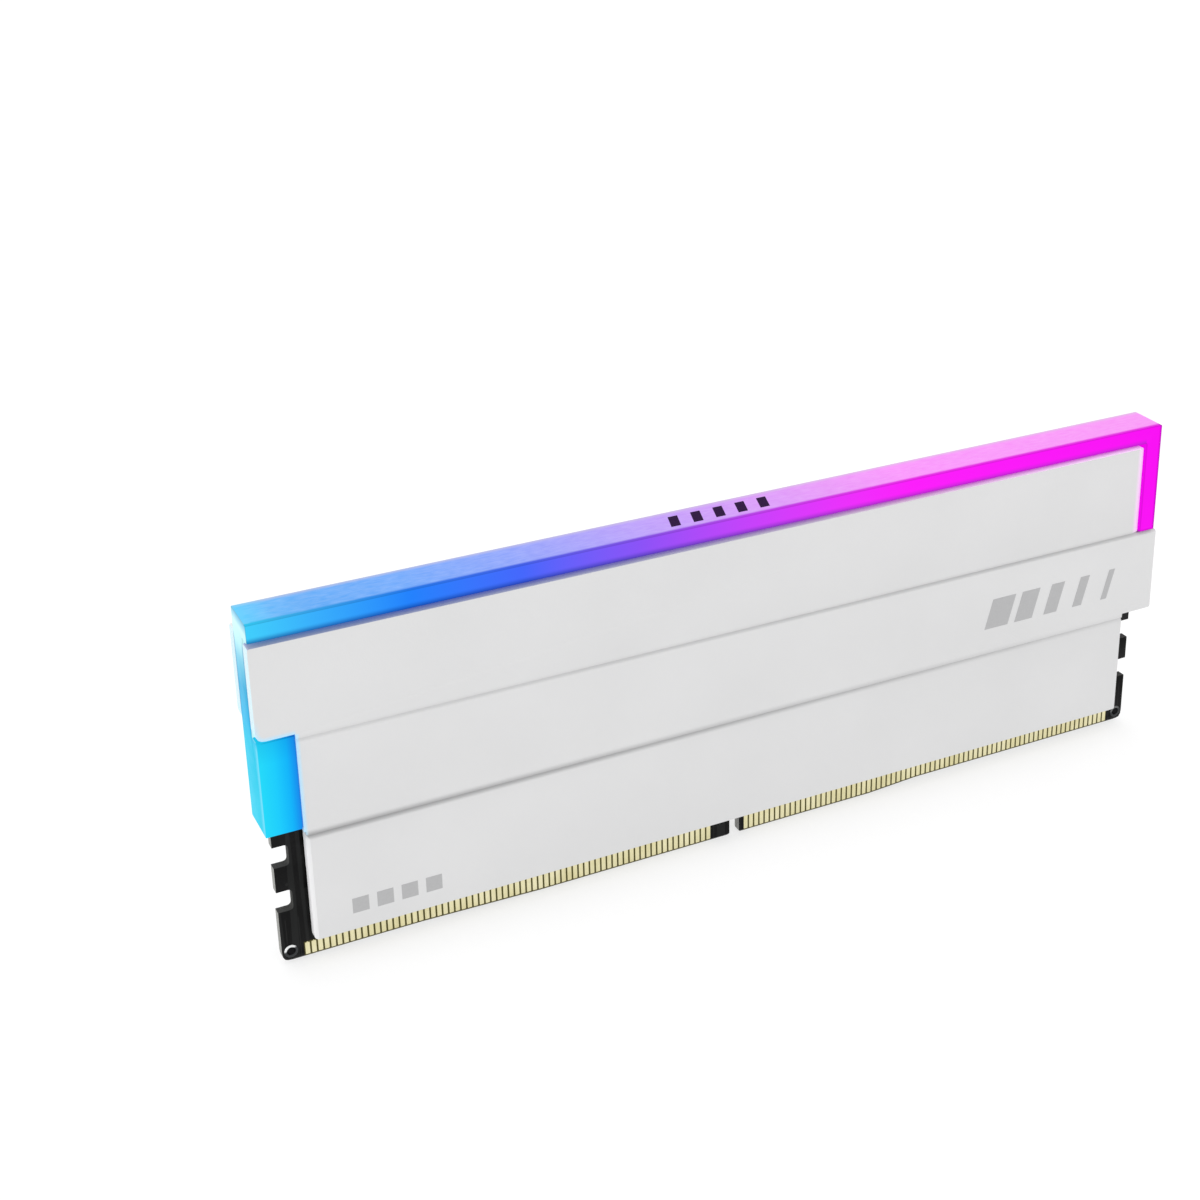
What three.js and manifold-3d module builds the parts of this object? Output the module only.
// Desktop memory module with heat spreaders and a light guide.
// Millimetres. +X runs along the module, +Y to its rear, +Z up from the contact edge.
// The origin is on the contact edge, half way along it and half way through the board.
import * as THREE from "three";
import { mergeVertices } from "three/addons/utils/BufferGeometryUtils.js";
import Module from "manifold-3d";

const wasm = await Module();
wasm.setup();

// Circuit board
const BOARD_LENGTH = 133.35;
const BOARD_HEIGHT = 31.25;
const BOARD_THICK = 1.27;
const BOARD_CORNER = 1.4;
const EDGE_BEVEL_HEIGHT = 0.3;
const EDGE_BEVEL_DEPTH = 0.18;
// The contact edge is lower along its middle: the ends are this much higher, and ramp down over these lengths
const EDGE_END_RISE = 0.45;
const EDGE_LEFT_RAMP = [-48, -31];
const EDGE_RIGHT_RAMP = [21, 29];
const NOTCH_FLOORS = [8.0, 14.6];
const NOTCH_HEIGHT = 3.0;
const NOTCH_DEPTH = 2.05;
const NOTCH_ROUND = 0.6;
const KEY_CENTRE = -1.4;
const KEY_WIDTH = 1.5;
const KEY_HEIGHT = 3.4;
const KEY_MOUTH_ROUND = 0.45;
const CORNER_HOLE_RADIUS = 0.55;
const CORNER_HOLE_DEPTH = 0.35;
const CORNER_HOLE_INSET = 1.2;
const CORNER_HOLE_HEIGHT = 1.9;

// Edge contacts
const CONTACT_PITCH = 0.85;
const CONTACT_WIDTH = 0.6;
const CONTACT_THICK = 0.04;
const CONTACT_MARGIN = 0.35;
const CONTACT_TOP = 2.55;
const CONTACT_TIE = 0.12;
const LEFT_CONTACTS = 69;
const RIGHT_CONTACTS = 75;
const FIRST_CONTACT = 3.35;

// Light guide
const GUIDE_LEFT = -67.8;
const GUIDE_RIGHT = 68.0;
const GUIDE_HALF_THICK = 3.1;
const GUIDE_TOP = 50.0;
const BAR_BOTTOM = 47.55;
const WEB_FRONT = -1.1;
const WEB_BOTTOM = 31.55;
const STRIP_WIDTH = 2.6;
const STRIP_BOTTOM = 33.4;
const BLOCK_WIDTH = 4.7;
const BLOCK_TOP = 34.0;
const LEG_BOTTOM = 20.8;
const LEG_WIDTH = 2.9;
const BOARD_SLOT_CLEARANCE = 0.2;

// Heat spreaders
const PLATE_TOP = 46.85;
const PANEL_BOTTOM = 34.15;
const BAND_TOP = 33.15;
const BAND_END_BOTTOM = 20.2;
const PLATE_BOTTOM = 3.9;
const PANEL_RIGHT = 65.25;
const BAND_RIGHT = 68.7;
const BAND_LEFT = -63.0;
const LOWER_LEFT = -62.7;
const LOWER_RIGHT = 63.55;
const PLATE_CORNER = 0.35;
const PANEL_LOWER_CORNER = 1.2;
const PANEL_END_CHAMFER = [1.1, 0.35];
const LOWER_END_CHAMFER = [0.45, 0.35];
const UPPER_STEP = 33.45;
const LOWER_STEP = 19.6;
const LOWER_PANEL_DEPTH = 0.3;
// How far the band steps back, and the depth and height of the groove under each step, at the left and right ends
const BAND_DEPTH = [0.05, 0.2];
const UPPER_GROOVE_DEPTH = [0.15, 0.45];
const UPPER_GROOVE_HEIGHT = [0.45, 0.75];
const LOWER_GROOVE_DEPTH = [0.45, 0.2];
const LOWER_GROOVE_HEIGHT = [0.8, 0.45];
const FRONT_PLATE_FACE = -3.0;
const REAR_PLATE_FACE = 4.8;
const POCKET_FLOOR = -1.935;
const POCKET_HALF_LENGTH = 62.1;
const POCKET_BOTTOM = 5.0;
const POCKET_TOP = 31.4;

// Parts on the board's front face
const CHIP_WIDTH = 10.0;
const CHIP_HEIGHT = 11.0;
const CHIP_THICK = 1.0;
const CHIP_BOTTOM = 8.9;
const CHIP_PITCH = 12.5;
const FIRST_CHIP = 19.0;
const CHIPS_PER_SIDE = 4;
const POWER_CHIP_SIZE = 5.0;
const POWER_CHIP_THICK = 0.85;
const POWER_CHIP_MIDDLE = 20.5;
const INDUCTOR = [2.5, 1.2, 2.0];
const INDUCTOR_COUNT = 3;
const INDUCTOR_PITCH = 3.6;
const INDUCTOR_MIDDLE = 25.6;
const CAPACITOR = [1.6, 1.0, 3.2];
const CAPACITOR_COUNT = 6;
const CAPACITOR_FIRST = 6.2;
const CAPACITOR_PITCH = 2.3;
const CAPACITOR_MIDDLE = 14.6;
const SPD_HUB = [3.0, 0.75, 2.0];
const SPD_HUB_MIDDLE = [-1.2, 13.0];
const LIGHT_CONTROLLER = [4.0, 0.85, 4.0];
const LIGHT_CONTROLLER_MIDDLE = [13.6, 25.8];
const LED = [1.6, 0.8, 1.1];
const LED_COUNT = 8;
const LED_PITCH = 15.0;
const LED_MIDDLE = 30.3;

// Thermal pads
const CHIP_PAD_OVERHANG = 0.6;
const REAR_PAD_HALF_LENGTH = 60.0;
const REAR_PAD_BOTTOM = 7.0;
const REAR_PAD_TOP = 29.0;

const CURVE_STEPS = 4;
const HOLE_SIDES = 24;
const BOARD_FRONT = -BOARD_THICK / 2;
const BOARD_REAR = BOARD_THICK / 2;
const BOARD_HALF = BOARD_LENGTH / 2;
const PAST = 1.0;
const EDGE_PROFILE = [
  [-BOARD_HALF, EDGE_END_RISE],
  [EDGE_LEFT_RAMP[0], EDGE_END_RISE],
  [EDGE_LEFT_RAMP[1], 0],
  [EDGE_RIGHT_RAMP[0], 0],
  [EDGE_RIGHT_RAMP[1], EDGE_END_RISE],
  [BOARD_HALF, EDGE_END_RISE],
];

const finishes = {
  board: new THREE.MeshStandardMaterial({ color: 0x141515, roughness: 0.55, metalness: 0 }),
  gold: new THREE.MeshStandardMaterial({ color: 0xd8c27a, roughness: 0.3, metalness: 1 }),
  paint: new THREE.MeshStandardMaterial({ color: 0xe2e2e2, roughness: 0.45, metalness: 0.1 }),
  guide: new THREE.MeshStandardMaterial({ color: 0xc8c4ff, roughness: 0.35, metalness: 0 }),
  package: new THREE.MeshStandardMaterial({ color: 0x1b1b1d, roughness: 0.6, metalness: 0 }),
  ferrite: new THREE.MeshStandardMaterial({ color: 0x3a3a3c, roughness: 0.7, metalness: 0.2 }),
  ceramic: new THREE.MeshStandardMaterial({ color: 0x8a6f52, roughness: 0.5, metalness: 0 }),
  led: new THREE.MeshStandardMaterial({ color: 0xf2f0e6, roughness: 0.4, metalness: 0 }),
  pad: new THREE.MeshStandardMaterial({ color: 0x8d949b, roughness: 0.9, metalness: 0 }),
};

const model = new THREE.Group();

function addPiece(name, geometry, finish) {
  const piece = new THREE.Mesh(geometry, finishes[finish]);
  piece.name = name;
  model.add(piece);
}

// A box from its lowest to its highest corner
function box(low, high) {
  const size = high.map((value, axis) => value - low[axis]);
  const geometry = new THREE.BoxGeometry(...size);
  return geometry.translate(...low.map((value, axis) => value + size[axis] / 2));
}

// A closed outline in X and Z, extruded from one Y to another
function slab(outline, frontY, rearY) {
  const geometry = new THREE.ExtrudeGeometry(outline, {
    depth: rearY - frontY,
    bevelEnabled: false,
    curveSegments: CURVE_STEPS,
  });
  return geometry.rotateX(Math.PI / 2).translate(0, rearY, 0);
}

// A bar along X whose section, a list of [y, z] corners, may change from its left end to its right end
function bar(leftX, leftSection, rightX, rightSection) {
  const count = leftSection.length;
  const flat = leftSection.map(([y, z]) => new THREE.Vector2(y, z));
  const order = [...flat.keys()];
  if (THREE.ShapeUtils.isClockWise(flat)) {
    order.reverse();
  }
  const corners = [
    ...order.map((i) => [leftX, ...leftSection[i]]),
    ...order.map((i) => [rightX, ...rightSection[i]]),
  ];
  const caps = THREE.ShapeUtils.triangulateShape(order.map((i) => flat[i]), []);
  const faces = [];
  for (const [a, b, c] of caps) {
    faces.push([c, b, a], [a + count, b + count, c + count]);
  }
  for (let i = 0; i < count; i += 1) {
    const next = (i + 1) % count;
    faces.push([i, next, next + count], [i, next + count, i + count]);
  }
  const geometry = new THREE.BufferGeometry();
  geometry.setAttribute("position", new THREE.Float32BufferAttribute(corners.flat(), 3));
  geometry.setIndex(faces.flat());
  return geometry;
}

function toSolid(geometry) {
  const bare = geometry.clone();
  bare.deleteAttribute("normal");
  bare.deleteAttribute("uv");
  const merged = mergeVertices(bare, 1e-5);
  return new wasm.Manifold(
    new wasm.Mesh({
      numProp: 3,
      vertProperties: new Float32Array(merged.attributes.position.array),
      triVerts: new Uint32Array(merged.index.array),
    }),
  );
}

function toGeometry(solid) {
  const mesh = solid.getMesh();
  const geometry = new THREE.BufferGeometry();
  geometry.setAttribute("position", new THREE.BufferAttribute(mesh.vertProperties, 3));
  geometry.setIndex(new THREE.BufferAttribute(mesh.triVerts, 1));
  geometry.computeVertexNormals();
  return geometry;
}

function join(geometries) {
  return geometries.map(toSolid).reduce((whole, piece) => whole.add(piece));
}

function cut(solid, geometries) {
  return geometries.map(toSolid).reduce((whole, piece) => whole.subtract(piece), solid);
}

// An outline through [x, z] corners, each with its own corner radius as an optional third value
function roundedOutline(corners) {
  const shape = new THREE.Shape();
  const count = corners.length;
  const toward = (from, to, distance) => {
    const length = Math.hypot(to[0] - from[0], to[1] - from[1]);
    return [0, 1].map((axis) => from[axis] + ((to[axis] - from[axis]) * distance) / length);
  };
  corners.forEach((corner, i) => {
    const radius = corner[2] ?? 0;
    const start = toward(corner, corners[(i + count - 1) % count], radius);
    const end = toward(corner, corners[(i + 1) % count], radius);
    if (i === 0) {
      shape.moveTo(...start);
    } else {
      shape.lineTo(...start);
    }
    if (radius > 0) {
      shape.quadraticCurveTo(corner[0], corner[1], ...end);
    }
  });
  shape.closePath();
  return shape;
}

// The board's right edge, bottom to top, with its two latch notches
function notchedEdge() {
  const inner = BOARD_HALF - NOTCH_DEPTH;
  const edge = [];
  for (const floor of NOTCH_FLOORS) {
    edge.push([BOARD_HALF, floor]);
    edge.push([inner, floor, NOTCH_ROUND]);
    edge.push([inner, floor + NOTCH_HEIGHT, NOTCH_ROUND]);
    edge.push([BOARD_HALF, floor + NOTCH_HEIGHT]);
  }
  return edge;
}

// Height of the contact edge at a place along the board
function edgeHeight(x) {
  const end = EDGE_PROFILE.findIndex(([place]) => place >= x);
  const [x0, z0] = EDGE_PROFILE[end - 1];
  const [x1, z1] = EDGE_PROFILE[end];
  return z0 + ((z1 - z0) * (x - x0)) / (x1 - x0);
}

function boardOutline() {
  const right = [
    [BOARD_HALF, EDGE_END_RISE, BOARD_CORNER],
    ...notchedEdge(),
    [BOARD_HALF, BOARD_HEIGHT],
  ];
  const left = right.map(([x, z, radius]) => [-x, z, radius]).reverse();
  const keyLeft = KEY_CENTRE - KEY_WIDTH / 2;
  const keyRight = KEY_CENTRE + KEY_WIDTH / 2;
  const keyRound = KEY_WIDTH / 2 - 0.01;
  const key = [
    [keyLeft, 0, KEY_MOUTH_ROUND],
    [keyLeft, KEY_HEIGHT, keyRound],
    [keyRight, KEY_HEIGHT, keyRound],
    [keyRight, 0, KEY_MOUTH_ROUND],
  ];
  const [, rampTop, rampFoot, otherFoot, otherTop] = EDGE_PROFILE;
  return roundedOutline([...right, ...left, rampTop, rampFoot, ...key, otherFoot, otherTop]);
}

// A plug that cuts a blind corner hole: end -1 or 1 along the board, side -1 in its front or 1 in its rear
function cornerHole(end, side) {
  const length = CORNER_HOLE_DEPTH + PAST;
  const plug = new THREE.CylinderGeometry(CORNER_HOLE_RADIUS, CORNER_HOLE_RADIUS, length, HOLE_SIDES);
  const middle = side * (BOARD_REAR - CORNER_HOLE_DEPTH + length / 2);
  return plug.translate(end * (BOARD_HALF - CORNER_HOLE_INSET), middle, CORNER_HOLE_HEIGHT);
}

// The wedges that bevel one face of the contact edge, one to each straight length of it
function edgeBevels(side) {
  const face = side * BOARD_REAR;
  const tip = face - side * EDGE_BEVEL_DEPTH;
  const past = face + side * PAST;
  const drop = (EDGE_BEVEL_HEIGHT * PAST) / EDGE_BEVEL_DEPTH;
  const section = (z) => [
    [tip, z],
    [past, z + EDGE_BEVEL_HEIGHT + drop],
    [past, z - PAST],
    [tip, z - PAST],
  ];
  return EDGE_PROFILE.slice(1).map(([x1, z1], i) => {
    const [x0, z0] = EDGE_PROFILE[i];
    return bar(x0, section(z0), x1, section(z1));
  });
}

function circuitBoard() {
  const blank = toSolid(slab(boardOutline(), BOARD_FRONT, BOARD_REAR));
  const cutters = [];
  for (const side of [-1, 1]) {
    cutters.push(...edgeBevels(side), cornerHole(-1, side), cornerHole(1, side));
  }
  return toGeometry(cut(blank, cutters));
}

function contactBottom(x) {
  return CONTACT_MARGIN + Math.max(edgeHeight(x - CONTACT_WIDTH / 2), edgeHeight(x + CONTACT_WIDTH / 2));
}

// A group of contacts on one face, held together by the thin tie line above them
function contactGroup(firstX, count, side) {
  const half = CONTACT_WIDTH / 2;
  const tieTop = CONTACT_TOP + CONTACT_TIE;
  const corners = [];
  for (let i = 0; i < count; i += 1) {
    const x = firstX + i * CONTACT_PITCH;
    const bottom = contactBottom(x);
    corners.push([x - half, CONTACT_TOP], [x - half, bottom], [x + half, bottom], [x + half, CONTACT_TOP]);
  }
  const lastX = firstX + (count - 1) * CONTACT_PITCH;
  corners[0] = [firstX - half, contactBottom(firstX)];
  corners.splice(1, 1);
  corners[corners.length - 1] = [lastX + half, tieTop];
  corners.push([firstX - half, tieTop]);
  const face = side * BOARD_REAR;
  const outer = face + side * CONTACT_THICK;
  return slab(roundedOutline(corners), Math.min(face, outer), Math.max(face, outer));
}

function addContacts() {
  const leftStart = -BOARD_HALF + FIRST_CONTACT;
  const rightStart = BOARD_HALF - FIRST_CONTACT - (RIGHT_CONTACTS - 1) * CONTACT_PITCH;
  for (const [face, side] of [["front", -1], ["rear", 1]]) {
    addPiece(`${face}_contacts_left`, contactGroup(leftStart, LEFT_CONTACTS, side), "gold");
    addPiece(`${face}_contacts_right`, contactGroup(rightStart, RIGHT_CONTACTS, side), "gold");
  }
}

function plateOutline() {
  return roundedOutline([
    [LOWER_LEFT, PLATE_BOTTOM, PLATE_CORNER],
    [LOWER_RIGHT, PLATE_BOTTOM, PLATE_CORNER],
    [LOWER_RIGHT, BAND_END_BOTTOM],
    [BAND_RIGHT, BAND_END_BOTTOM, PLATE_CORNER],
    [BAND_RIGHT, BAND_TOP, PLATE_CORNER],
    [PANEL_RIGHT, BAND_TOP],
    [PANEL_RIGHT, PLATE_TOP, PLATE_CORNER],
    [GUIDE_LEFT, PLATE_TOP, PLATE_CORNER],
    [GUIDE_LEFT, PANEL_BOTTOM, PANEL_LOWER_CORNER],
    [BAND_LEFT, PANEL_BOTTOM],
    [BAND_LEFT, BAND_END_BOTTOM],
    [LOWER_LEFT, BAND_END_BOTTOM],
  ]);
}

// What is cut from a plate's outer face, so that the band and the lower panel step back under a groove each
function terraceCutter(face, side) {
  const section = (end) => {
    const band = BAND_DEPTH[end];
    return [
      [-PAST, UPPER_STEP],
      [band + UPPER_GROOVE_DEPTH[end], UPPER_STEP],
      [band, UPPER_STEP - UPPER_GROOVE_HEIGHT[end]],
      [band, LOWER_STEP],
      [LOWER_PANEL_DEPTH + LOWER_GROOVE_DEPTH[end], LOWER_STEP],
      [LOWER_PANEL_DEPTH, LOWER_STEP - LOWER_GROOVE_HEIGHT[end]],
      [LOWER_PANEL_DEPTH, 0],
      [-PAST, 0],
    ].map(([depth, z]) => [face - side * depth, z]);
  };
  const reach = BAND_RIGHT + PAST;
  return bar(-reach, section(0), reach, section(1));
}

// The wedge that chamfers an upright end of a plate's outer face. The end faces left (-1) or right (1).
function endCutter(endX, end, [width, depth], face, side, bottom, top) {
  const start = endX - end * width;
  const beyond = endX + end * PAST;
  const corner = new THREE.Shape();
  corner.moveTo(start, face);
  corner.lineTo(beyond, face - (side * depth * (width + PAST)) / width);
  corner.lineTo(beyond, face + side * PAST);
  corner.lineTo(start, face + side * PAST);
  const wedge = new THREE.ExtrudeGeometry(corner, { depth: top - bottom, bevelEnabled: false });
  return wedge.translate(0, 0, bottom);
}

function plateCutters(face, side) {
  const lowerFace = face - side * LOWER_PANEL_DEPTH;
  return [
    terraceCutter(face, side),
    endCutter(PANEL_RIGHT, 1, PANEL_END_CHAMFER, face, side, UPPER_STEP, GUIDE_TOP),
    endCutter(LOWER_LEFT, -1, LOWER_END_CHAMFER, lowerFace, side, 0, LOWER_STEP),
  ];
}

function frontHeatSpreader() {
  const plate = toSolid(slab(plateOutline(), FRONT_PLATE_FACE, WEB_FRONT));
  const pocket = box(
    [-POCKET_HALF_LENGTH, POCKET_FLOOR, POCKET_BOTTOM],
    [POCKET_HALF_LENGTH, WEB_FRONT + PAST, POCKET_TOP],
  );
  return toGeometry(cut(plate, [pocket, ...plateCutters(FRONT_PLATE_FACE, -1)]));
}

function rearHeatSpreader() {
  const plate = toSolid(slab(plateOutline(), GUIDE_HALF_THICK, REAR_PLATE_FACE));
  return toGeometry(cut(plate, plateCutters(REAR_PLATE_FACE, 1)));
}

// One moulding: the top bar, the web between the plates, the right strip, the left block and a leg at the right end
function lightGuide() {
  const left = GUIDE_LEFT;
  const right = GUIDE_RIGHT;
  const thick = GUIDE_HALF_THICK;
  const solid = join([
    box([left, -thick, BAR_BOTTOM], [right, thick, GUIDE_TOP]),
    box([left, WEB_FRONT, WEB_BOTTOM], [right, thick, BAR_BOTTOM + PAST]),
    box([right - STRIP_WIDTH, -thick, STRIP_BOTTOM], [right, thick, BAR_BOTTOM + PAST]),
    box([left, -thick, LEG_BOTTOM], [left + BLOCK_WIDTH, thick, BLOCK_TOP]),
    box([right - LEG_WIDTH, WEB_FRONT, LEG_BOTTOM], [right, thick, BLOCK_TOP]),
  ]);
  const slotReach = BOARD_HALF + BOARD_SLOT_CLEARANCE;
  const slotHalf = BOARD_REAR + BOARD_SLOT_CLEARANCE;
  const boardSlot = box([-slotReach, -slotHalf, 0], [slotReach, slotHalf, WEB_BOTTOM]);
  return toGeometry(cut(solid, [boardSlot]));
}

// A part that stands on the board's front face: size as [x, y, z], centred at x and z
function onBoardFront([width, thick, height], x, z) {
  return box(
    [x - width / 2, BOARD_FRONT - thick, z - height / 2],
    [x + width / 2, BOARD_FRONT, z + height / 2],
  );
}

function addMemoryChips() {
  const middle = CHIP_BOTTOM + CHIP_HEIGHT / 2;
  let number = 1;
  for (const side of [-1, 1]) {
    for (let i = 0; i < CHIPS_PER_SIDE; i += 1) {
      const x = side * (FIRST_CHIP + i * CHIP_PITCH);
      const chip = onBoardFront([CHIP_WIDTH, CHIP_THICK, CHIP_HEIGHT], x, middle);
      addPiece(`memory_chip_${number}`, chip, "package");
      number += 1;
    }
  }
}

function addPowerSupply() {
  const size = [POWER_CHIP_SIZE, POWER_CHIP_THICK, POWER_CHIP_SIZE];
  addPiece("power_chip", onBoardFront(size, 0, POWER_CHIP_MIDDLE), "package");
  for (let i = 0; i < INDUCTOR_COUNT; i += 1) {
    const x = (i - (INDUCTOR_COUNT - 1) / 2) * INDUCTOR_PITCH;
    addPiece(`power_inductor_${i + 1}`, onBoardFront(INDUCTOR, x, INDUCTOR_MIDDLE), "ferrite");
  }
  const perSide = CAPACITOR_COUNT / 2;
  for (let i = 0; i < CAPACITOR_COUNT; i += 1) {
    const side = i < perSide ? -1 : 1;
    const x = side * (CAPACITOR_FIRST + (i % perSide) * CAPACITOR_PITCH);
    addPiece(`bulk_capacitor_${i + 1}`, onBoardFront(CAPACITOR, x, CAPACITOR_MIDDLE), "ceramic");
  }
}

function addControlChips() {
  addPiece("spd_hub_chip", onBoardFront(SPD_HUB, ...SPD_HUB_MIDDLE), "package");
  addPiece("light_controller_chip", onBoardFront(LIGHT_CONTROLLER, ...LIGHT_CONTROLLER_MIDDLE), "package");
}

function addLeds() {
  for (let i = 0; i < LED_COUNT; i += 1) {
    const x = (i - (LED_COUNT - 1) / 2) * LED_PITCH;
    addPiece(`led_${i + 1}`, onBoardFront(LED, x, LED_MIDDLE), "led");
  }
}

function addThermalPads() {
  const inner = FIRST_CHIP - CHIP_WIDTH / 2 - CHIP_PAD_OVERHANG;
  const outer = FIRST_CHIP + (CHIPS_PER_SIDE - 1) * CHIP_PITCH + CHIP_WIDTH / 2 + CHIP_PAD_OVERHANG;
  const chipFace = BOARD_FRONT - CHIP_THICK;
  const low = CHIP_BOTTOM - CHIP_PAD_OVERHANG;
  const high = CHIP_BOTTOM + CHIP_HEIGHT + CHIP_PAD_OVERHANG;
  addPiece("front_pad_left", box([-outer, POCKET_FLOOR, low], [-inner, chipFace, high]), "pad");
  addPiece("front_pad_right", box([inner, POCKET_FLOOR, low], [outer, chipFace, high]), "pad");
  const half = POWER_CHIP_SIZE / 2;
  const powerFace = BOARD_FRONT - POWER_CHIP_THICK;
  const powerPad = box(
    [-half, POCKET_FLOOR, POWER_CHIP_MIDDLE - half],
    [half, powerFace, POWER_CHIP_MIDDLE + half],
  );
  addPiece("power_chip_pad", powerPad, "pad");
  const rearPad = box(
    [-REAR_PAD_HALF_LENGTH, BOARD_REAR, REAR_PAD_BOTTOM],
    [REAR_PAD_HALF_LENGTH, GUIDE_HALF_THICK, REAR_PAD_TOP],
  );
  addPiece("rear_pad", rearPad, "pad");
}

addPiece("circuit_board", circuitBoard(), "board");
addContacts();
addPiece("front_heat_spreader", frontHeatSpreader(), "paint");
addPiece("rear_heat_spreader", rearHeatSpreader(), "paint");
addPiece("light_guide", lightGuide(), "guide");
addMemoryChips();
addPowerSupply();
addControlChips();
addLeds();
addThermalPads();

export default model;
